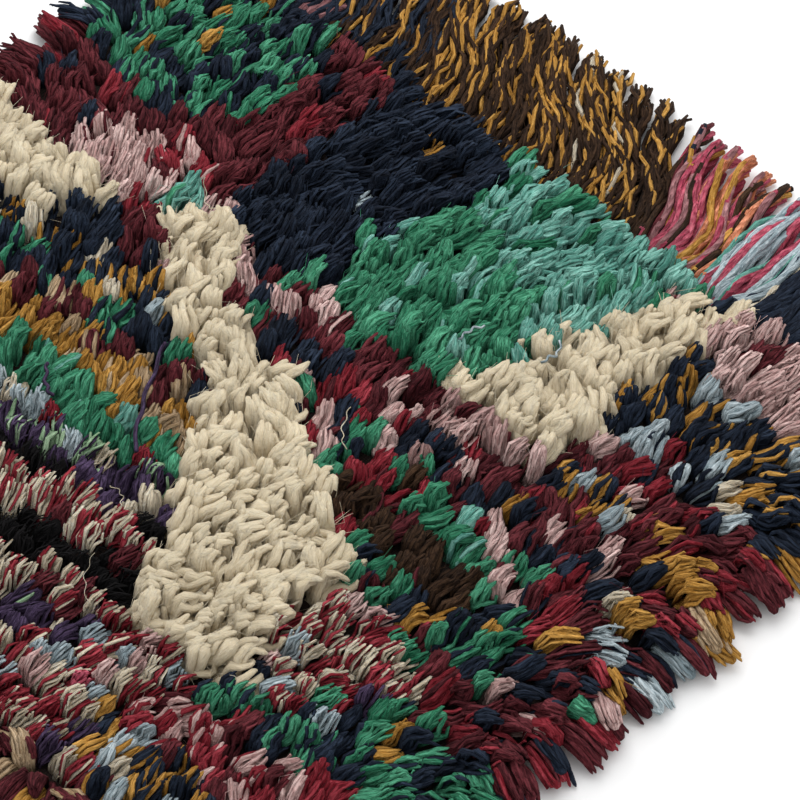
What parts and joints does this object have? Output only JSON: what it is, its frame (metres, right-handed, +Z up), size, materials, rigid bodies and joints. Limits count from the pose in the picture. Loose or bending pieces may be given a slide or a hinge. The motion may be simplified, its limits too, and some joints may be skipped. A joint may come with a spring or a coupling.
{
  "type": "wool rug",
  "caption": "Thick hand-knotted shag rug of many-coloured wool lying flat, with long leaning tufts, locks falling over its sides and a knotted fringe at one end.",
  "frame": {"origin": "middle of the rug's footprint, on the floor that it lies on", "axes": "+Z up out of the pile, +X along the rows of knots, +Y along the warp towards the fringed end"},
  "size_m": [0.984, 0.99, 0.032],
  "materials": {
    "yarn_cream": "thick soft undyed roving, cream",
    "yarn_ivory": "soft undyed yarn, ivory",
    "yarn_navy": "dull wool yarn, dark navy",
    "yarn_green": "dull wool yarn, leaf green",
    "yarn_teal": "dull wool yarn, teal",
    "yarn_maroon": "dull wool yarn, maroon",
    "yarn_red": "dull wool yarn, crimson red",
    "yarn_rose": "dull wool yarn, faded rose",
    "yarn_pink": "soft plied yarn, strong pink",
    "yarn_coral": "soft plied yarn, coral",
    "yarn_mauve": "soft plied yarn, mauve",
    "yarn_gold": "dull wool yarn, mustard gold",
    "yarn_tan": "dull wool yarn, tan",
    "yarn_brown": "dull wool yarn, dark brown",
    "yarn_black": "fine wiry wool yarn, black",
    "yarn_purple": "dull wool yarn, purple",
    "yarn_sky": "dull wool yarn, pale blue",
    "yarn_mint": "thin plied yarn, pale green",
    "ground_weave": "plain woven wool ground under the pile"
  },
  "bodies": {
    "root": {"rug_body": "yarn_cream", "end_fringe": "yarn_pink"}
  },
  "joints": []
}
